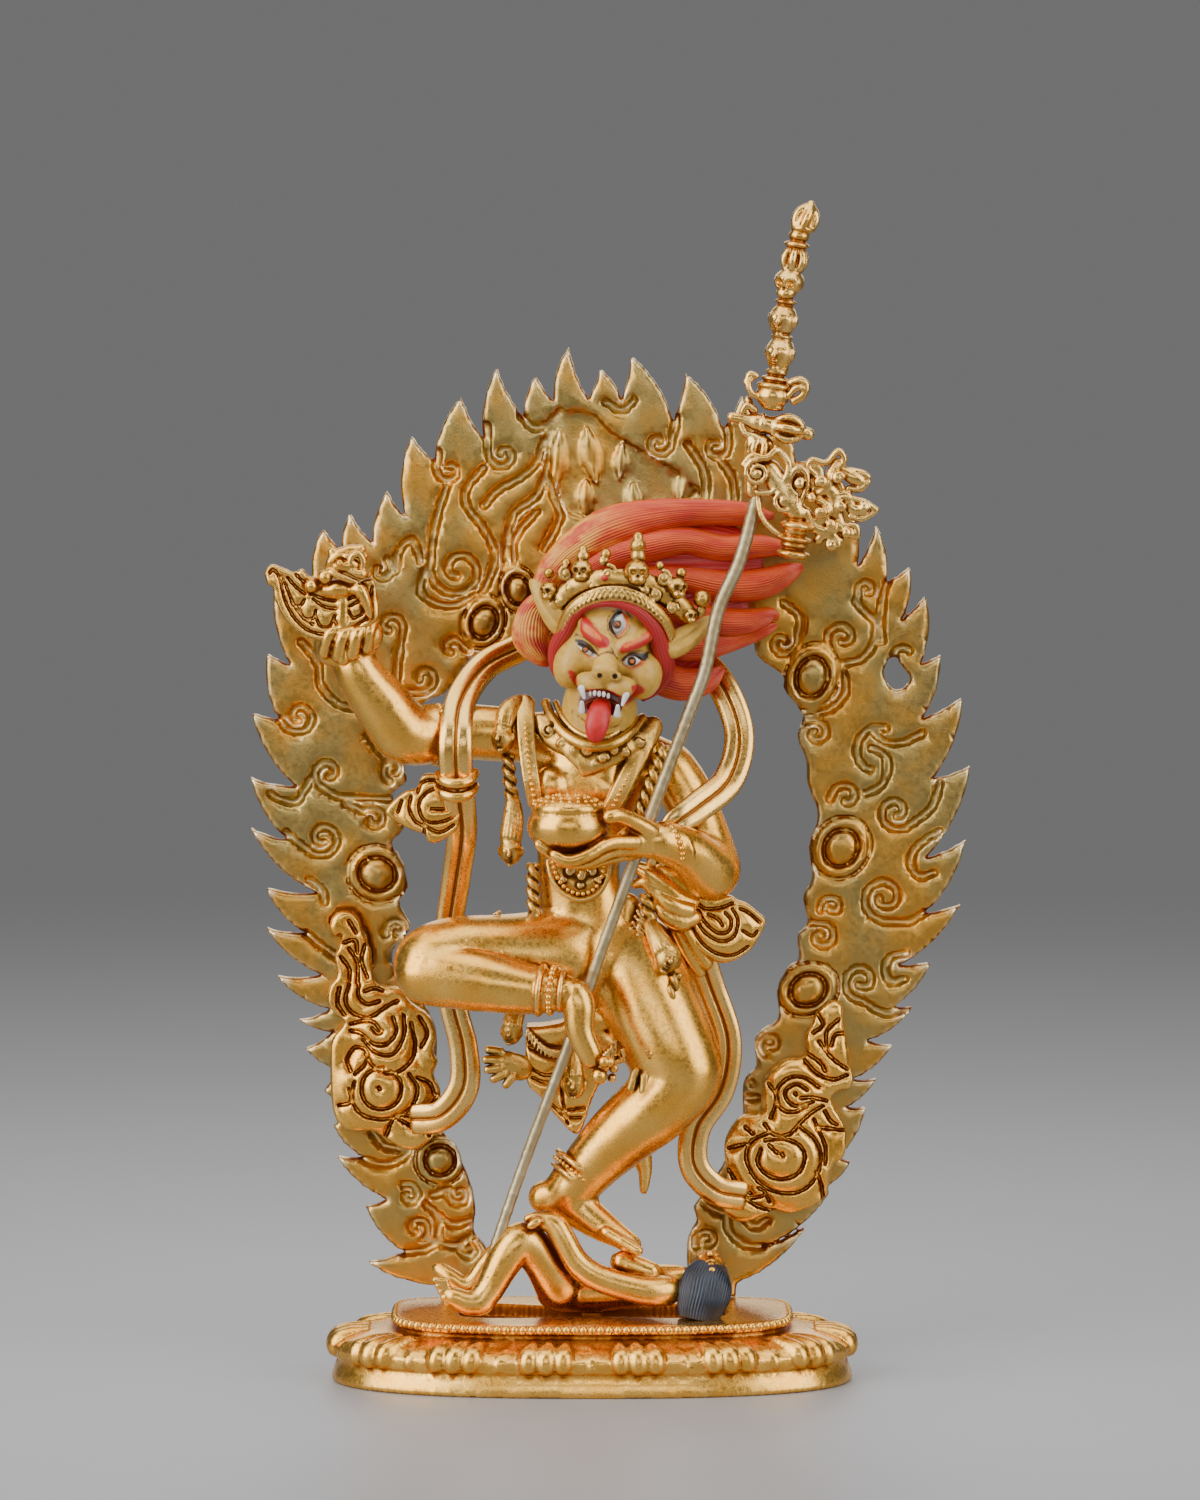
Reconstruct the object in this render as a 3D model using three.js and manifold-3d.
// Simhamukha statue: a lion-faced dakini dancing on a corpse, in gilt cast copper,
// on an oval lotus base, with a staff, a flaying knife, a scarf and an arch of flames.
// Millimetres, +Z up. X runs to the viewer's right, +Y away from the viewer.
// The origin is the middle of the base's underside.

import * as THREE from 'three';
import { mergeVertices } from 'three/addons/utils/BufferGeometryUtils.js';
import Module from 'manifold-3d';

const wasm = await Module();
wasm.setup();

// Clear space kept where two pieces meet.
const GAP = 0.3;

// Oval base: the lower tier, the petal ring round it and the top plate with its rim.
const TIER = { halfWidth: 47.3, halfDepth: 24, power: 2.5, top: 9.7 };
const PETALS = { count: 14, lobes: 3, low: 3.9, wide: 5.8, high: 9.3, reach: 1.3, scallop: 0.75 };
const PLATE = { halfWidth: 36, halfDepth: 17.5, power: 3, backPower: 6, shiftBack: -1.3, under: 10.6, top: 12.2 };

// Arch of flames: a flat plate behind the figure.
const ARCH = { front: 12.9, thickness: 3.1, carve: 0.9, heartX: 5, heartSpread: 15, heartZ: 92 };

// Staff: a bent wire in front of the body.
const ROD_RADIUS = 1.1;

const GOLD = { color: 0xd9a441, metalness: 1, roughness: 0.35 };
const DULL_GOLD = { color: 0xb08a48, metalness: 1, roughness: 0.42 };
const DULL_BRASS = { color: 0x9a8458, metalness: 1, roughness: 0.5 };

const AWAY = new THREE.Vector3(0, 1, 0);

function toSolid(geometry) {
  const bare = geometry.clone();
  bare.deleteAttribute('normal');
  bare.deleteAttribute('uv');
  const merged = mergeVertices(bare, 1e-4);
  return new wasm.Manifold(new wasm.Mesh({
    numProp: 3,
    vertProperties: new Float32Array(merged.attributes.position.array),
    triVerts: new Uint32Array(merged.index.array),
  }));
}

function join(solids) {
  return solids.reduce((whole, next) => whole.add(next));
}

function toPiece(name, solid, look) {
  const { vertProperties, triVerts } = solid.getMesh();
  const geometry = new THREE.BufferGeometry();
  geometry.setAttribute('position', new THREE.BufferAttribute(new Float32Array(vertProperties), 3));
  geometry.setIndex(new THREE.BufferAttribute(new Uint32Array(triVerts), 1));
  geometry.computeVertexNormals();
  const piece = new THREE.Mesh(geometry, new THREE.MeshStandardMaterial(look));
  piece.name = name;
  return piece;
}

// Closed body through rings of points, all with the same count, with a point at each end.
function loft(rings, firstPole, lastPole) {
  const count = rings[0].length;
  const points = [firstPole, ...rings.flat(), lastPole];
  const faces = [];
  const at = (ring, index) => 1 + ring * count + (index % count);
  for (let index = 0; index < count; index += 1) {
    faces.push(0, at(0, index + 1), at(0, index));
    for (let ring = 0; ring < rings.length - 1; ring += 1) {
      faces.push(at(ring, index), at(ring, index + 1), at(ring + 1, index + 1));
      faces.push(at(ring, index), at(ring + 1, index + 1), at(ring + 1, index));
    }
    faces.push(points.length - 1, at(rings.length - 1, index), at(rings.length - 1, index + 1));
  }
  const geometry = new THREE.BufferGeometry().setFromPoints(points);
  geometry.setIndex(faces);
  return toSolid(geometry);
}

// A frame at each station [x, y, z, size] of a smooth path.
// "across" lies in the plane of the arch, and "out" points to the front.
function framesAlong(stations) {
  const path = new THREE.CatmullRomCurve3(
    stations.map(([x, y, z]) => new THREE.Vector3(x, y, z)), false, 'centripetal');
  return stations.map(([x, y, z, size], index) => {
    const tangent = path.getTangent(index / (stations.length - 1)).normalize();
    const across = new THREE.Vector3().crossVectors(tangent, AWAY).normalize();
    const out = new THREE.Vector3().crossVectors(tangent, across).normalize();
    return { centre: new THREE.Vector3(x, y, z), tangent, across, out, size };
  });
}

// Round limb through stations [x, y, z, radius], blunt at both ends. "depth" flattens it
// from front to back, and "grow" swells it to cut room in a neighbour.
function limb(stations, { sides = 6, depth = 1, grow = 0 } = {}) {
  const frames = framesAlong(stations);
  const rings = frames.map(({ centre, across, out, size }) => Array.from({ length: sides }, (unused, side) => {
    const angle = (side / sides) * Math.PI * 2;
    return centre.clone()
      .addScaledVector(across, Math.cos(angle) * (size + grow))
      .addScaledVector(out, Math.sin(angle) * (size * depth + grow));
  }));
  const pole = (frame, sign) => frame.centre.clone()
    .addScaledVector(frame.tangent, sign * 0.7 * (frame.size + grow));
  return loft(rings, pole(frames[0], -1), pole(frames[frames.length - 1], 1));
}

// Flat band through stations [x, y, z, half width], with a groove along its middle.
function band(stations, thickness) {
  const half = thickness / 2;
  const section = [
    [1, -half], [0.8, half], [0, 0], [-0.8, half], [-1, -half],
  ];
  const frames = framesAlong(stations);
  const rings = frames.map(({ centre, across, out, size }) => section.map(([side, front]) => (
    centre.clone().addScaledVector(across, side * size).addScaledVector(out, front)
  )));
  const end = (frame, sign) => frame.centre.clone()
    .addScaledVector(frame.tangent, sign * 0.2)
    .addScaledVector(frame.out, -0.2 * half);
  return loft(rings, end(frames[0], -1), end(frames[frames.length - 1], 1));
}

function ball(x, y, z, halfWidth, halfDepth, halfHeight, { sides = 6, rows = 4, grow = 0, roll = 0 } = {}) {
  const geometry = new THREE.SphereGeometry(1, sides, rows);
  geometry.scale(halfWidth + grow, halfDepth + grow, halfHeight + grow);
  geometry.rotateY(THREE.MathUtils.degToRad(roll));
  geometry.translate(x, y, z);
  return toSolid(geometry);
}

// Plate with an outline drawn in the X-Z plane, from depth "back" towards the viewer.
function slab(shape, back, thickness) {
  const geometry = new THREE.ExtrudeGeometry(shape, { depth: thickness, bevelEnabled: false, curveSegments: 2 });
  geometry.rotateX(Math.PI / 2);
  geometry.translate(0, back, 0);
  return toSolid(geometry);
}

function shapeThrough(points, samples = 0) {
  const corners = points.map(([x, z]) => new THREE.Vector2(x, z));
  if (samples === 0) {
    return new THREE.Shape(corners);
  }
  const smooth = new THREE.SplineCurve([...corners, corners[0]]);
  return new THREE.Shape(smooth.getPoints(samples).slice(0, -1));
}

function block(minimum, maximum) {
  const size = maximum.map((high, axis) => high - minimum[axis]);
  const geometry = new THREE.BoxGeometry(...size);
  geometry.translate(...minimum.map((low, axis) => low + size[axis] / 2));
  return toSolid(geometry);
}

// Oval outline point: a superellipse, which is fuller at its corners than an ellipse.
// "backPower" makes its back half fuller still.
function ovalPoint(angle, reach, height, { halfWidth, halfDepth, power, backPower = power, shiftBack = 0 }) {
  const fullness = Math.sin(angle) > 0 ? backPower : power;
  const bulge = (value) => Math.sign(value) * Math.abs(value) ** (2 / fullness);
  return new THREE.Vector3(
    (halfWidth + reach) * bulge(Math.cos(angle)), shiftBack + (halfDepth + reach) * bulge(Math.sin(angle)), height);
}

function ovalLoft(levels, oval, sides, wave = () => 0) {
  const rings = levels.map(([spread, height, waveShare = 1]) => Array.from({ length: sides }, (unused, side) => (
    ovalPoint((side / sides) * Math.PI * 2, spread + wave(side) * waveShare, height, oval)
  )));
  const middle = (height) => new THREE.Vector3(0, oval.shiftBack ?? 0, height);
  return loft(rings, middle(levels[0][1]), middle(levels[levels.length - 1][1]));
}

function lotusBase() {
  const rim = ovalLoft([[-0.5, 0], [0, 0.7], [-0.4, PETALS.low + 0.4]], TIER, 28);
  // Each petal has three blocky lobes, and the notch between two petals is deeper.
  const sides = PETALS.count * PETALS.lobes * 2;
  const wave = (side) => {
    if (side % 2 === 0) {
      return PETALS.reach;
    }
    return side % (2 * PETALS.lobes) === 1 ? -1.6 * PETALS.scallop : -0.4 * PETALS.scallop;
  };
  const petals = ovalLoft([[-1, PETALS.low, 0.3], [0, PETALS.wide], [-2.6, PETALS.high]], TIER, sides, wave);
  const plate = ovalLoft(
    [[-1.4, TIER.top - 1], [-1.4, PLATE.under], [0.4, PLATE.under + 0.4], [0.2, PLATE.top]], PLATE, 28);
  return join([rim, petals, plate]);
}

// Flame tongues of the arch, from its lower left round to its lower right:
// [tip x, tip z, length of the slot on the tongue's upper side].
const LEFT_TONGUES = [
  [-41.4, 18.1, 7.2], [-41.6, 28.9, 5], [-46.7, 38.5, 4.6], [-47.4, 44.2, 3.4], [-49.4, 50.1, 3.6],
  [-52.5, 58.4, 4.7], [-53.8, 63.2, 5.2], [-57.9, 71.5, 8.5], [-59.9, 80.4, 7.1], [-59.9, 87.7, 8.6],
  [-62.6, 99, 6.4], [-62.6, 108.3, 7.8], [-62.5, 120.2, 5.8], [-59.7, 130.8, 5.4], [-57.5, 141.3, 6.8],
  [-49.2, 153.9, 6.3], [-44.7, 156.8, 7.2], [-37.4, 160.2, 5.7], [-33.2, 170.6, 7], [-24, 177.5, 7.2],
  [-17.1, 183, 10.6], [-10.2, 181.5, 5.9], [-3.7, 186.4, 9.5],
];
const RIGHT_TONGUES = [
  [1.6, 182.4, 5.3], [7.1, 185.2, 8.4], [16.9, 181.9, 8.6], [27.3, 177.7, 6.4], [37, 171.5, 6.6],
  [46.3, 162.8, 6.1], [51.6, 154.4, 7.6], [57.6, 146.4, 4.2], [60.7, 141.5, 4.9], [63.7, 130.5, 3.7],
  [67.8, 122.4, 7.8], [69.3, 110.3, 6.9], [68.2, 96.4, 7.6], [67.4, 84.4, 6.3], [62.1, 73.9, 4.8],
  [59, 65.6, 6.2], [55.2, 58.6, 4.8], [52.1, 52.5, 4.8], [50.1, 46.6, 4.2], [47.4, 37, 3.7],
  [43.7, 31.4, 1.6], [39.5, 25.3, 4.1],
];
// Inner edge of the arch from the right foot over the top to the left foot.
const INNER_EDGE = [
  [17.6, 21.8], [22.6, 34.8], [27.2, 46], [30.2, 59.7], [34.8, 72.6], [38.2, 82], [40.6, 98],
  [39.5, 109.4], [38, 119.5], [35.6, 124.1], [31.6, 132.3], [27, 144.2], [16, 150.4], [4, 149],
  [-4.6, 143], [-8.6, 137], [-14, 131.8], [-20.8, 131], [-26, 125.9], [-32.9, 121.3], [-35.1, 112.2],
  [-33.7, 107.6], [-37, 101.2], [-33.7, 91.1], [-35.6, 84], [-33.4, 79], [-35.2, 72.6], [-29.4, 62],
  [-28.6, 50.5], [-23.7, 40.9], [-21.3, 31.1], [-19.3, 20.9],
];
const FEET = { bottom: PLATE.top + GAP, left: [-27.5, -18.8], right: [17.6, 26.5] };

function archShape() {
  const slotEnd = ([x, z, slot], side) => {
    const heart = new THREE.Vector2(ARCH.heartX - side * ARCH.heartSpread, ARCH.heartZ);
    return heart.sub(new THREE.Vector2(x, z)).setLength(slot).add(new THREE.Vector2(x, z));
  };
  const swelling = (from, to, amount) => {
    const along = new THREE.Vector2().subVectors(to, from);
    return new THREE.Vector2().addVectors(from, to).multiplyScalar(0.5)
      .add(new THREE.Vector2(-along.y, along.x).multiplyScalar(amount));
  };
  const shape = new THREE.Shape();
  shape.moveTo(FEET.left[1], FEET.bottom);
  shape.lineTo(FEET.left[0], FEET.bottom);
  let from = new THREE.Vector2(FEET.left[0], FEET.bottom + 1.4);
  shape.lineTo(from.x, from.y);
  const curveTo = (to, amount) => {
    const control = swelling(from, to, amount);
    shape.quadraticCurveTo(control.x, control.y, to.x, to.y);
    from = to;
  };
  for (const tongue of LEFT_TONGUES) {
    curveTo(new THREE.Vector2(tongue[0], tongue[1]), 0.16);
    curveTo(slotEnd(tongue, -1), -0.12);
  }
  for (const tongue of RIGHT_TONGUES) {
    curveTo(slotEnd(tongue, 1), 0.16);
    curveTo(new THREE.Vector2(tongue[0], tongue[1]), -0.12);
  }
  curveTo(new THREE.Vector2(FEET.right[1], FEET.bottom + 1.9), 0.2);
  shape.lineTo(FEET.right[1], FEET.bottom);
  shape.lineTo(FEET.right[0], FEET.bottom);
  INNER_EDGE.forEach(([x, z]) => shape.lineTo(x, z));
  return shape;
}

// Scrolls carved in the arch: [x, z, radius, start angle in degrees, turn direction].
const SCROLLS = [
  [-24.4, 147.2, 5.5, 90, 1], [-14.9, 167.6, 2.8, 180, 1], [-25.5, 164.3, 2.6, 150, 1],
  [-36.9, 135.7, 2.8, 160, 1], [-54.6, 121.2, 3.2, 30, 1], [-47.9, 109.5, 3.8, 60, 1],
  [-40.1, 100.7, 2.8, 60, 1], [-31.6, 25.7, 2.8, 90, -1], [11.5, 168.3, 3, 60, 1],
  [22.9, 167.9, 2.8, 60, 1], [45.8, 133.3, 3.7, 120, -1], [50.4, 111.3, 3, 150, -1],
  [54.5, 86.9, 4.1, 90, 1], [49.4, 72.8, 3.4, 60, 1], [30.8, 24.7, 2.9, 120, -1],
];
// Recessed pockets between the flame leaves near the top: [x, z, half width, half height, lean].
const LEAF_POCKETS = [
  [-7.5, 170, 1.6, 4.6, 12], [-0.8, 170, 1.6, 5, -8], [7, 166, 1.6, 5, -14], [-5.5, 160, 1.6, 4.4, 8],
  [-14, 157, 1.7, 5.4, -12], [14, 161, 1.7, 4.2, 30],
];
// Almond jewels in lidded frames: [x, z, half width, half height, lean].
const JEWELS = [
  [-20.1, 135.5, 3.1, 3.9, 20], [-40.6, 91.6, 4.2, 3.2, 30], [-28.5, 38.7, 3.4, 3.6, 0],
  [40.7, 127.8, 3, 3.9, -20], [45.7, 96.7, 3.4, 4.2, -25], [40.3, 70.1, 3.9, 3.3, -25],
];

function scrollShape([x, z, radius, start, turn]) {
  const steps = 4;
  const width = 0.16 * radius + 0.25;
  const edge = (side) => Array.from({ length: steps + 1 }, (unused, step) => {
    const along = step / steps;
    const angle = THREE.MathUtils.degToRad(start + turn * along * 430);
    const reach = radius * (1 - 0.72 * along) + side * width * Math.sin(Math.PI * (0.12 + 0.76 * along));
    return [x + reach * Math.cos(angle), z + reach * Math.sin(angle)];
  });
  return shapeThrough([...edge(1), ...edge(-1).reverse()]);
}

function pocketShape([x, z, halfWidth, halfHeight, lean]) {
  const turn = THREE.MathUtils.degToRad(lean);
  const corners = [[0, -1], [0.9, -0.5], [0.6, 0.3], [0, 1], [-0.6, 0.3], [-0.9, -0.5]];
  return shapeThrough(corners.map(([side, up]) => {
    const across = side * halfWidth;
    const along = up * halfHeight;
    return [x + across * Math.cos(turn) - along * Math.sin(turn), z + across * Math.sin(turn) + along * Math.cos(turn)];
  }));
}

function flameArch() {
  let arch = slab(archShape(), ARCH.front + ARCH.thickness, ARCH.thickness);
  for (const shape of [...SCROLLS.map(scrollShape), ...LEAF_POCKETS.map(pocketShape)]) {
    arch = arch.subtract(slab(shape, ARCH.front + ARCH.carve, ARCH.carve + 1));
  }
  for (const [x, z, halfWidth, halfHeight, lean] of JEWELS) {
    arch = arch.add(ball(x, ARCH.front + 0.2, z, halfWidth, 1.5, halfHeight, { roll: lean }));
  }
  return arch;
}

const ROD_PATH = [
  [29.3, -12, 160], [26.4, -12, 149.2], [22.6, -12, 140.4], [20.2, -12, 129.5], [17.2, -12, 121.4],
  [12.2, -12, 108], [8.6, -12, 98.1], [1.4, -11, 78.2], [-3.9, -10.4, 62.8], [-13, -9, 38.2],
  [-18.6, -9.5, 21.5], [-20.4, -10, 15.2],
];

function staffRod(grow = 0) {
  return limb(ROD_PATH.map((point) => [...point, ROD_RADIUS]), { grow });
}

// The staff's finial is one turned stack on an axis that leans right: [x, z, radius].
const FINIAL_STACK = [
  [29.6, 165.6, 0.9], [30.2, 167.2, 2.2], [30.7, 169, 2.2], [31, 170.4, 1.6], [31.4, 171.6, 3], [31.8, 174.4, 2.9],
  [32, 175.8, 2], [32.1, 177.4, 3], [32.5, 180, 2.9], [33, 181.4, 1.7], [33.2, 183, 1.7], [33.5, 184.6, 2.9],
  [33.8, 187.2, 2.9], [34.1, 188.8, 1.7], [34.4, 190.6, 2.8], [34.7, 193.4, 2.8], [35, 195, 1.8], [35.4, 196.8, 2.8],
  [35.8, 199.4, 2.5], [36.2, 200.7, 1.7], [36.5, 202.4, 2.6], [36.9, 204.2, 1.9], [37.3, 206.6, 1.8], [37.7, 208.2, 2.6],
  [38.2, 211, 2.5], [38.7, 212.8, 0.9],
];
const FINIAL_Y = -12;

function staffFinial() {
  const stack = limb(FINIAL_STACK.map(([x, z, radius]) => [x, FINIAL_Y, z, radius]));
  const crossed = limb([[25.6, FINIAL_Y, 174.8, 1], [38.2, FINIAL_Y, 171.9, 1]]);
  const handles = [[29.4, 180.4], [36.2, 179.6]].map(([x, z]) => ball(x, FINIAL_Y, z, 1.7, 0.9, 2, { rows: 3 }));
  const coil = ball(29.4, FINIAL_Y - 1.2, 164.8, 3.1, 1.4, 3.1, { sides: 8, rows: 3 });
  const streamers = [
    [[31.5, -12.5, 165, 1.5], [34.4, -13, 160.4, 2.8], [38, -12.5, 163, 2], [42.4, -12, 165.4, 1.9], [49.2, -12, 163.4, 1.2]],
    [[34.4, -12, 160.4, 2.2], [40, -11.5, 159.5, 2.4], [46, -11.5, 158.8, 1.6], [50.4, -11.5, 158, 1]],
    [[38, -12, 160.5, 2.4], [42, -12, 157, 2.2], [47, -12, 154.8, 1.1]],
    [[41, -12, 157, 1.6], [42.9, -12, 151.2, 1.3]],
  ].map((stations) => limb(stations, { sides: 4, depth: 0.7 }));
  const bell = limb([[37.3, FINIAL_Y, 157.6, 1.6], [37.1, FINIAL_Y, 155.6, 2.5], [36.9, FINIAL_Y, 154.4, 1.8],
    [36.7, FINIAL_Y, 153, 2.6], [36.5, FINIAL_Y, 151.8, 2], [36.3, FINIAL_Y, 150.4, 2.8]]);
  const string = limb([[30.2, -13, 161.4, 0.5], [31.2, -13, 155.6, 0.5], [35.4, -13, 152.9, 0.6]], { sides: 4 });
  return join([stack, crossed, ...handles, coil, ...streamers, bell, string]).subtract(staffRod(GAP));
}

// The body in its dance: each row is [x, y, z, radius] along a limb.
const BODY = {
  trunk: [[1.2, 0, 76, 8.4], [-0.6, -1.6, 83, 7.8], [-1.3, -2, 91, 7.2], [-2, -2, 100, 8], [-1.2, -2, 108, 9.4],
    [-0.6, -1, 113.5, 10], [1, -1.4, 118, 6]],
  neck: [[1, -1.4, 117, 6.4], [1.6, -4, 125, 6.4]],
  raisedArm: [[-9, 0, 115, 5.4], [-18, -1, 115.8, 4.7], [-27, -4, 116.4, 4.8], [-34, -6, 116.6, 4.8],
    [-38.6, -8, 122.6, 4.7], [-42.4, -9, 130.6, 4.3]],
  cupArm: [[10.5, 0, 113, 5.2], [17.4, 0, 108.5, 4.7], [20.8, -1, 101, 4.8], [21.6, -5, 94.4, 5], [17.4, -10, 95.6, 4.4],
    [13, -14.4, 98.6, 3.3]],
  raisedThigh: [[-3, -1, 78, 8.2], [-16, -4.4, 78, 6.8], [-28, -8, 76.2, 6.9]],
  raisedShin: [[-28, -10, 75.2, 6.6], [-18, -14, 74.6, 6.2], [-8, -15.4, 72.6, 4.3]],
  raisedFoot: [[-5.4, -15.8, 71.4, 3.1], [-2.4, -16.6, 65.5, 2.7], [-0.8, -17, 60.5, 2.9], [1, -17, 57.4, 2]],
  standingLeg: [[8.4, 0, 76, 8.6], [13.2, -2.4, 67, 7.7], [16.6, -5, 56.6, 6.3], [9.8, -3.6, 47.6, 5.9],
    [2.6, -2.2, 40.6, 4.8], [-2.4, -1.2, 36, 3.5]],
  standingFoot: [[-8.4, 0, 32.9, 2.7], [-3.6, -1.2, 33, 3.2], [0.6, -3.6, 28.8, 3], [8.2, -7, 24, 1.9]],
};
const RAISED_FIST = [[-39, -9.5, 134.2, 3.6], [-44, -10, 134.6, 4.4], [-48.6, -10, 135, 3.4]];
const CUP = { x: -4.2, y: -17.6, z: 101, halfWidth: 7.2, halfDepth: 6.4, halfHeight: 4.3 };
const HEAD_ROLL = 13;

function cupAndHand(grow) {
  const bowl = ball(CUP.x, CUP.y, CUP.z, CUP.halfWidth, CUP.halfDepth, CUP.halfHeight, { sides: 8, rows: 4, grow });
  const filling = ball(CUP.x, CUP.y, CUP.z + 3.6, 6.2, 5.6, 2.6, { rows: 3, grow });
  const palm = limb([[14, -13.6, 98.4, 3.4], [9.4, -16, 98.6, 3]], { grow });
  const thumb = limb([[11, -17, 101, 1.6], [6.8, -19, 102.8, 1.4], [2.4, -20.4, 103.6, 1.2]], { sides: 4, grow });
  const fingers = limb([[10, -16.6, 97.8, 2.2], [1.4, -18.6, 96.4, 1.9], [-4, -19.4, 95.8, 1.6], [-9.6, -20, 98.4, 1.2]],
    { sides: 4, grow });
  return [bowl, filling, palm, thumb, fingers];
}

// The hair is swept to the right in one mass that parts into separate locks.
const HAIR_MASS = [
  [[-9, 0, 137, 5.6], [-3, 1, 144, 8], [5, 1.5, 148.4, 8.6], [16, 2, 148.6, 9.4], [26, 2, 148, 8.4]],
  [[6, 1, 134, 7.5], [16, 2, 137, 8.6], [25, 2, 140.5, 7]],
];
const HAIR_LOCKS = [
  [[18, 2, 155.6, 3.4], [26, 2, 157.2, 2.4], [31.2, 1.5, 158.6, 0.7]],
  [[22, 1, 150.6, 4.4], [30, 0.5, 151.6, 3], [36, 0.5, 152.4, 0.8]],
  [[24, 2, 146.4, 4], [32, 1.5, 146.8, 2.6], [38.2, 1.5, 146.6, 0.7]],
  [[22, 1, 142.4, 4], [31, 0.5, 142.6, 2.8], [37.6, 0.5, 141.8, 0.8]],
  [[20, 1.5, 138.4, 4], [28, 1, 138, 2.8], [33.8, 1, 136.6, 0.7]],
  [[14, 0.5, 132.8, 4], [20, 0, 131, 3], [25.4, 0, 129, 0.8]],
  [[10, -1, 130, 4], [14.6, -1, 126, 3], [16.4, -1, 122.8, 1]],
];
const EARS = [
  [[-5.6, -7, 137.6, 2.6], [-8.2, -7, 141.6, 2.5], [-10.6, -6, 145, 0.9]],
  [[9, -6.5, 133, 2.4], [16.8, -7, 134.8, 2.5], [20.4, -6, 138, 0.9]],
];

function headAndHair(grow) {
  const skull = ball(2.6, -6.5, 132.8, 8.8, 8.6, 11, { sides: 8, rows: 5, roll: HEAD_ROLL, grow });
  const cap = ball(4, -5, 143.4, 11, 9.4, 8.4, { sides: 7, roll: HEAD_ROLL, grow });
  const muzzle = ball(1.2, -14, 127.4, 5.2, 4.4, 4.6, { roll: HEAD_ROLL, grow });
  const jaw = ball(1.2, -12.4, 120.8, 4, 4.4, 2.6, { grow });
  const tongue = limb([[0.9, -15, 122.4, 2.2], [0.2, -17.6, 118.6, 1.8]], { sides: 5, depth: 0.6, grow });
  const ears = EARS.map((stations) => limb(stations, { sides: 4, depth: 0.6, grow }));
  const mass = HAIR_MASS.map((stations) => limb(stations, { depth: 0.62, grow }));
  const locks = HAIR_LOCKS.map((stations) => limb(stations, { sides: 4, depth: 0.8, grow }));
  const sideCurl = limb([[-10.4, -3, 141, 3.4], [-11, -4, 134.6, 3.9], [-8.6, -4.5, 130.6, 2.2]], { depth: 0.8, grow });
  return [skull, cap, muzzle, jaw, tongue, ...ears, ...mass, ...locks, sideCurl];
}

function crown(grow) {
  const rim = limb([[-7, -9, 142.6, 1.6], [-3, -13, 145.2, 1.7], [3.6, -14.6, 146, 1.7], [11, -13, 144, 1.7],
    [16.6, -9, 139.8, 1.6]], { sides: 4, grow });
  const skulls = [[-7.2, -10, 145.6, 2.5], [-1.6, -13.4, 148, 2.6], [8.2, -14.2, 148.2, 2.8], [15.8, -11.4, 144.6, 2.6],
    [19, -9, 140.8, 2.2]].map(([x, y, z, radius]) => ball(x, y, z, radius, 2, radius, { sides: 5, rows: 3, grow }));
  const point = ball(8.4, -14.4, 151.6, 1.2, 1.1, 1.8, { sides: 5, grow });
  return [rim, ...skulls, point];
}

// Garland heads and the flayed skins' hands: [x, y, z, radius].
const SMALL_HEADS = [
  [-16.2, -5, 117.4, 3], [-14.3, -4.8, 97.8, 2.9], [-14, -3, 63.4, 2.6], [-3.2, -6.4, 54.4, 2.4], [10.6, -9, 60.6, 2.5],
  [13.2, -8.4, 78, 2.8],
];
const SKIN_HANDS = [[-15.4, -3, 58, 3], [10.4, -9.4, 54.8, 3]];
const ROPES = [
  [[-13.6, -3.4, 113.6, 1.6], [-14.4, -4, 106, 1.9], [-14.2, -4.4, 99, 2.2]],
  [[-11, -5.4, 93.6, 1.2], [-10.8, -6, 85.6, 1.2], [-7.6, -8, 75.4, 1.2]],
  [[12, -4.6, 116.4, 1.9], [10.4, -7.2, 110, 2], [7, -9, 103.6, 1.9]],
  [[7, -5, 94.6, 1.8], [8.4, -6.2, 86, 2.2], [11.6, -8, 80, 2.4]],
  [[12.4, -8.6, 76, 2.2], [10.8, -9.2, 68, 1.6], [10.6, -9.2, 62, 1.6]],
  [[5.4, 3.4, 46, 1.8], [8, 3.6, 40, 1.7], [9.4, 3.6, 34, 0.7]],
  [[-6, -1.6, 66, 3], [-12, -2.6, 63, 2.6], [-14.6, -3, 59, 2.2]],
];

function ornaments(grow) {
  const heads = SMALL_HEADS.map(([x, y, z, radius]) => (
    ball(x, y, z, radius, 2.2, radius * 1.15, { sides: 5, rows: 3, grow })));
  const hands = SKIN_HANDS.map(([x, y, z, radius]) => ball(x, y, z, radius, 1.4, radius, { sides: 5, rows: 3, grow }));
  const ropes = ROPES.map((stations) => limb(stations, { sides: 4, grow }));
  const neckRing = limb([[-9.6, -1, 119.6, 1.3], [-4.4, -7.6, 115.4, 1.5], [1, -9.6, 113.6, 1.7], [6.6, -7.8, 115.4, 1.5],
    [10.6, -1.4, 118.4, 1.3]], { sides: 4, grow });
  const pendant = limb([[-0.6, -10.2, 113, 3.2], [-1.2, -10.8, 109.4, 0.8]], { sides: 4, depth: 0.4, grow });
  const skirt = limb([[3.4, -0.6, 76, 9.4], [2.4, -1.4, 65, 9.4], [-0.6, -1.6, 55, 6.8], [-2, -1.6, 49.4, 2.6]],
    { sides: 8, depth: 0.72, grow });
  const cuff = ball(-14, -4.6, 81, 3.4, 4.4, 5.6, { rows: 3, grow });
  return [...heads, ...hands, ...ropes, neckRing, pendant, skirt, cuff];
}

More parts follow.
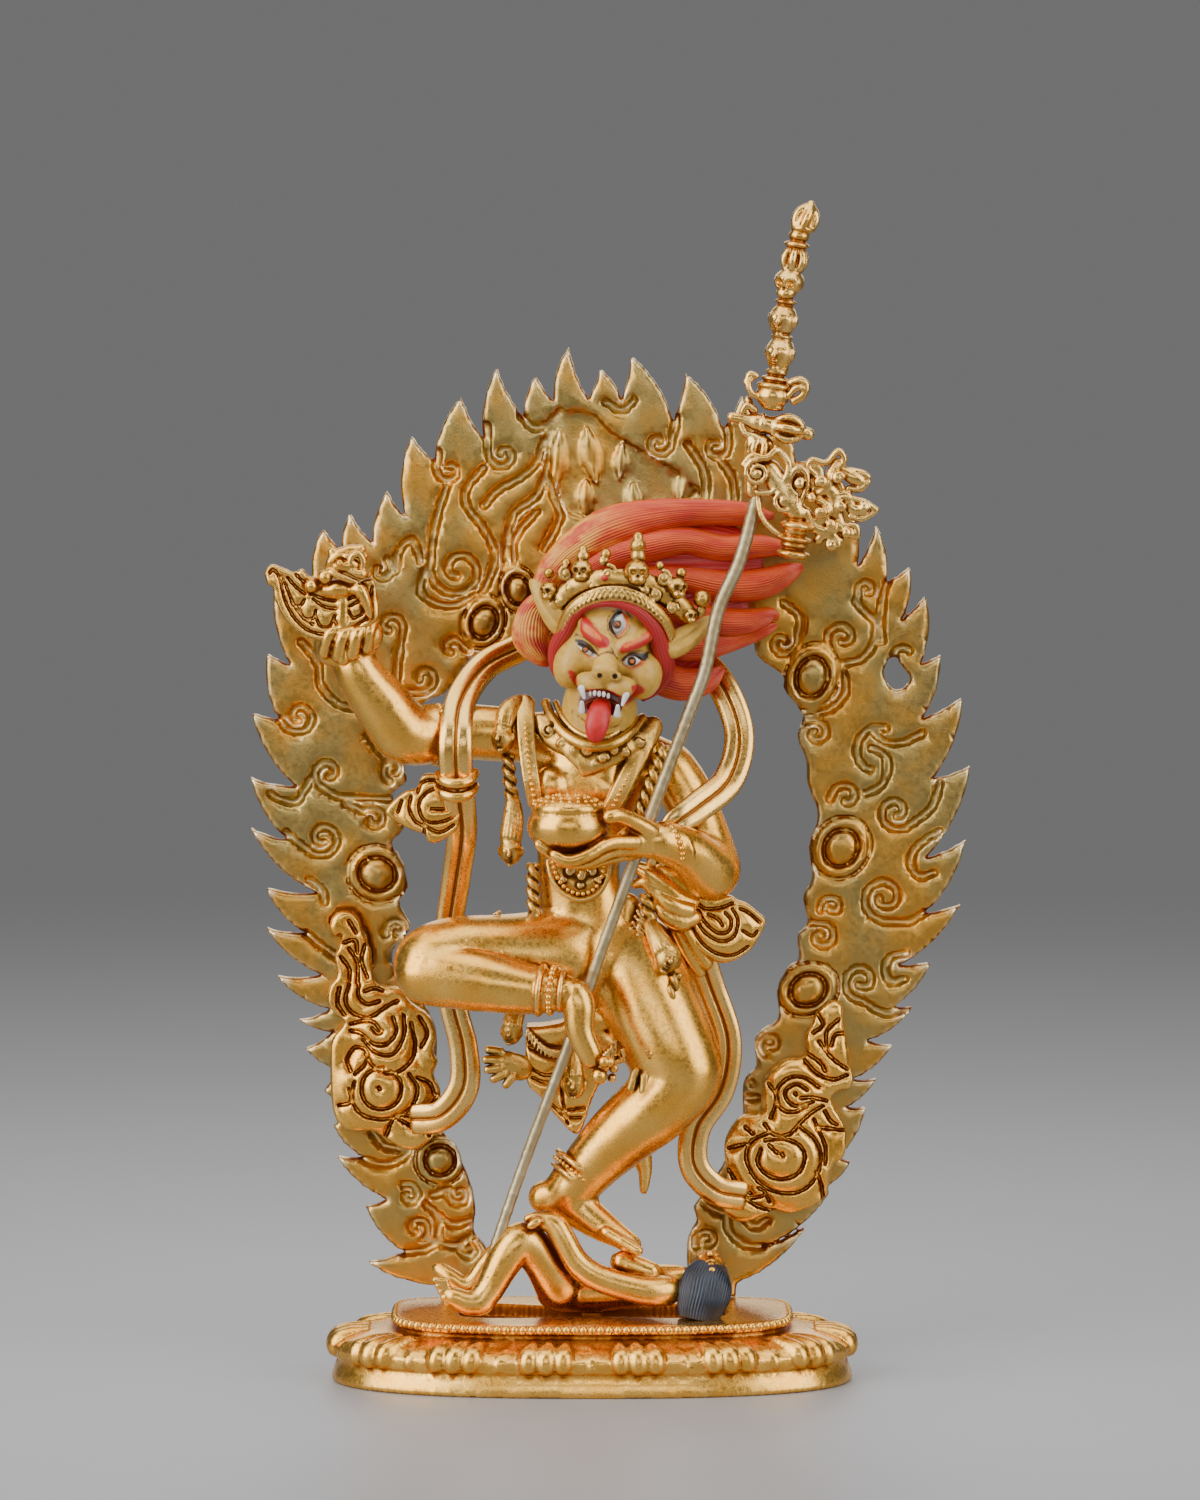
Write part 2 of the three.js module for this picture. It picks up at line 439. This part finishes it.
// Rings on the arms, wrists and ankles: [x, y, z, radius] and the limb's direction there.
const RINGS = [
  [[-28, -4.2, 116.6, 5.7], [-1, -0.3, 0]], [[-40.8, -8.6, 127.8, 5.2], [-0.5, -0.2, 1]],
  [[20.6, -0.8, 102.6, 5.5], [0.3, -0.1, -1]], [[14.4, -12.8, 97.6, 4.4], [-0.7, -0.7, 0.5]],
  [[-8.6, -15.2, 73, 5.2], [1, -0.1, -0.2]], [[-1, -1.6, 37.4, 4.7], [-0.7, 0.1, -0.6]],
];

function rings(grow) {
  return RINGS.map(([[x, y, z, radius], [dx, dy, dz]]) => {
    const ring = new THREE.CylinderGeometry(radius + grow, radius + grow, 1.8 + 2 * grow, 6);
    const turn = new THREE.Quaternion().setFromUnitVectors(AWAY, new THREE.Vector3(dx, dy, dz).normalize());
    ring.applyQuaternion(turn);
    ring.translate(x, y, z);
    return toSolid(ring);
  });
}

const KNIFE = { back: -13.4, thickness: 2.4 };
// Swells of the monster mask over the blade: [x, z, half width, half depth, half height].
const KNIFE_MASK = [
  [-46, 142.4, 3.2, 2.4, 2], [-43.6, 147.6, 3.4, 2.4, 2.8], [-47.6, 146.6, 2, 1.6, 1.8], [-40.4, 149, 1.6, 1.4, 2.2],
];

function knifeGrip(grow = 0) {
  return limb([[-44.4, -12.6, 131, 1.2], [-44.4, -13.4, 146, 1.2]], { sides: 5, grow });
}

function flayingKnife() {
  const blade = shapeThrough([
    [-57.9, 145.6], [-56.4, 147], [-55.2, 145.2], [-51.4, 144.2], [-47.6, 142.6], [-43.6, 141.6], [-39.2, 143.8],
    [-38.8, 138.4], [-41.6, 135.6], [-46.8, 134.2], [-51.8, 135.4], [-55, 139.4],
  ], 16);
  const mask = KNIFE_MASK.map(([x, z, halfWidth, halfDepth, halfHeight]) => (
    ball(x, KNIFE.back - 0.8, z, halfWidth, halfDepth, halfHeight)));
  const spike = limb([[-40.2, -14.4, 145, 1.4], [-39.6, -14.4, 140.4, 0.8]], { sides: 5, depth: 0.8 });
  return join([slab(blade, KNIFE.back, KNIFE.thickness), ...mask, spike, knifeGrip()]);
}

function bodyParts(grow = 0) {
  const trunk = limb(BODY.trunk, { sides: 8, depth: 0.72, grow });
  const bust = [[-6.4, -7, 107.6], [4.2, -7.2, 106.8]].map(([x, y, z]) => ball(x, y, z, 3.9, 2.8, 3.6, { rows: 3, grow }));
  const arms = [BODY.raisedArm, BODY.cupArm, BODY.neck].map((stations) => limb(stations, { grow }));
  const legs = [BODY.raisedThigh, BODY.raisedShin, BODY.standingLeg].map((stations) => limb(stations, { grow }));
  const feet = [BODY.raisedFoot, BODY.standingFoot].map((stations) => limb(stations, { sides: 5, grow }));
  const fist = limb(RAISED_FIST, { sides: 5, depth: 0.7, grow });
  return join([
    trunk, ...bust, ...arms, ...legs, ...feet, fist, ...cupAndHand(grow), ...headAndHair(grow),
    ...crown(grow), ...ornaments(grow), ...rings(grow),
  ]);
}

function dakini() {
  return bodyParts().subtract(staffRod(GAP)).subtract(knifeGrip(GAP));
}

const CORPSE_LIMBS = [
  [[-26, -11.6, 15, 2.2], [-20.4, -9.6, 14.6, 2.6], [-17.8, -8.6, 17.6, 2.6], [-11.6, -7, 25.8, 2.7],
    [-9, -5.4, 20, 3.1], [-6.6, -4, 15.4, 3.2]],
  [[-27.4, -3, 20.6, 1.6], [-22.4, -3.4, 16, 1.9], [-18.4, -3.6, 22.6, 1.8], [-12.4, -4.4, 25.6, 2]],
  [[-11, -3.4, 28.4, 1.6], [-6.6, -4, 27.8, 1.9], [-2.6, -6, 21.6, 2.3], [3.4, -7.8, 18.4, 2.4],
    [10, -8, 16.6, 2.4], [15.4, -7.4, 16, 2.2]],
];

function corpse(figureRoom) {
  const parts = [
    ...CORPSE_LIMBS.map((stations) => limb(stations)),
    limb([[-7, -1.4, 15.6, 4], [2, -1.6, 15.4, 4], [10, -3, 16.4, 4.2], [16.4, -4.6, 17.4, 3]], { sides: 8, depth: 1.1 }),
    ball(20, -5, 19, 4.3, 4.2, 3.8, { sides: 7 }),
    limb([[20.6, -8, 17.8, 4.2], [20.2, -10.6, 14.8, 4.4]], { sides: 7 }),
  ];
  const floor = block([-60, -40, 0], [60, 40, PLATE.top + GAP]);
  return join(parts).subtract(floor).subtract(figureRoom).subtract(staffRod(GAP));
}

const SCARF_THICKNESS = 1.5;
const LEFT_SCARF = [
  [2, 8.8, 138.6, 2.6], [-6, 8, 136, 2.6], [-13, 6, 132.4, 2.6], [-19.4, 2, 129.2, 2.7], [-23.5, -5, 123.6, 2.8],
  [-24.4, -9.9, 117, 3], [-24.2, -8.6, 109, 3], [-23.4, -4, 100, 2.7], [-24.6, 1.8, 90.7, 2.6], [-26, 4.8, 80, 2.5],
  [-25.4, 5, 68.4, 2.5], [-23.4, 5, 59.6, 2.6], [-23.4, 5, 52.2, 2.8], [-27.4, 6, 47, 2.8], [-33, 8.6, 46, 2.8],
];
const RIGHT_SCARF = [
  [2, 8.8, 138.6, 2.6], [11, 8.4, 136.4, 2.6], [19.2, 6, 130.6, 2.6], [24.2, 3, 124.4, 2.7], [26.6, 1, 116.6, 2.7],
  [24.6, -2, 109, 2.8], [19, -6.4, 104.4, 2.8], [14.8, -8.2, 101.4, 2.4], [12.2, -6, 96.6, 2], [11.6, -4, 91, 2],
];
const RIGHT_FALL = [
  [15, -1, 89, 2.4], [18, 1.6, 80, 2.8], [21.4, 4, 71, 2.7], [24.6, 5, 61, 2.6], [23.4, 5, 52, 2.6],
  [19, 4.6, 45, 2.7], [18.6, 4.6, 38, 2.7], [22.6, 5.4, 33.4, 2.7], [30, 8.6, 31.6, 2.7],
];

const SCARF_BACK = 11.6;

// Cloud rosette: a round flower with rings, smaller curls about it and a flame on top.
function rosette({ x, z, side, curls, flame }) {
  const flower = ball(x, SCARF_BACK - 2.4, z, 9.4, 2.6, 9.2, { sides: 8, rows: 3 });
  const bloom = [[5.4, 1.6, 4], [2.4, 1.2, 5.4]].map(([radius, half, lift]) => (
    ball(x, SCARF_BACK - lift, z, radius, half, radius, { rows: 3 })));
  const clouds = curls.map(([dx, dz, radius]) => (
    ball(x + side * dx, SCARF_BACK - 2.6, z + dz, radius, 2.6, radius, { sides: 5, rows: 3 })));
  const plume = limb(flame.map(([dx, dz, radius]) => [x + side * dx, SCARF_BACK - 2.2, z + dz, radius]),
    { sides: 5, depth: 0.7 });
  return join([flower, ...bloom, ...clouds, plume]);
}

const LEFT_ROSETTE = {
  x: -38.4, z: 53.4, side: -1,
  curls: [[7.2, -3.4, 3.8], [5.6, 8, 5], [-4.6, 10.4, 5.4], [-8.2, -3.4, 4.8], [2, -8.6, 3.6]],
  flame: [[3, 12, 3.6], [4.4, 21, 2.6], [5.6, 26, 1.6], [7.6, 30, 0.6]],
};
const RIGHT_ROSETTE = {
  x: 34.4, z: 41.4, side: 1,
  curls: [[8.6, -4.6, 3.6], [8.6, 5, 4.2], [-6.2, 4.6, 4.4], [0.8, 12, 5.4], [-3.4, -8.8, 4], [5, -9, 3.8]],
  flame: [[3.4, 10, 3.6], [8, 17.4, 2.8], [9.4, 23.4, 1.8], [9.8, 27.4, 0.6]],
};

// Pleated fan at the end of a knot: folds spread from a root to points on its edge.
function fan([rootX, rootZ], edges, depthAt) {
  return edges.map(([x, z]) => limb([[rootX, depthAt, rootZ, 1.6], [x, depthAt, z, 2]], { sides: 5, depth: 0.9 }));
}

function scarfRings() {
  const ring = new THREE.CylinderGeometry(3.7, 3.7, 3.6, 8);
  ring.rotateX(Math.PI / 2);
  ring.scale(1, 0.5, 1);
  ring.translate(-24.3, -8.4, 107.9);
  return toSolid(ring);
}

function scarf(figureRoom) {
  const bands = [LEFT_SCARF, RIGHT_SCARF, RIGHT_FALL].map((stations) => band(stations, SCARF_THICKNESS));
  const leftFan = fan([-25.6, 104.6], [[-29.4, 107], [-33.6, 104.4], [-29.4, 100.2]], -5.4);
  const knot = limb([[9.6, -3.4, 91.4, 2.6], [13.4, -3.6, 88, 3.4], [17.8, -3.4, 85.4, 3.2]]);
  const rightFan = fan([18, 86.4], [[24.6, 85.8], [28.4, 83.6], [25.4, 79.4]], -2.6);
  return join([...bands, scarfRings(), ...leftFan, knot, ...rightFan, rosette(LEFT_ROSETTE), rosette(RIGHT_ROSETTE)])
    .subtract(figureRoom).subtract(staffRod(GAP));
}

const figureRoom = bodyParts(GAP);
const statue = new THREE.Group();
statue.add(toPiece('lotus_base', lotusBase(), GOLD));
statue.add(toPiece('corpse', corpse(figureRoom), GOLD));
statue.add(toPiece('figure', dakini(), GOLD));
statue.add(toPiece('flaying_knife', flayingKnife(), GOLD));
statue.add(toPiece('staff_rod', staffRod(), DULL_BRASS));
statue.add(toPiece('staff_finial', staffFinial(), GOLD));
statue.add(toPiece('flame_aureole', flameArch(), DULL_GOLD));
statue.add(toPiece('scarf', scarf(figureRoom), GOLD));

export default statue;
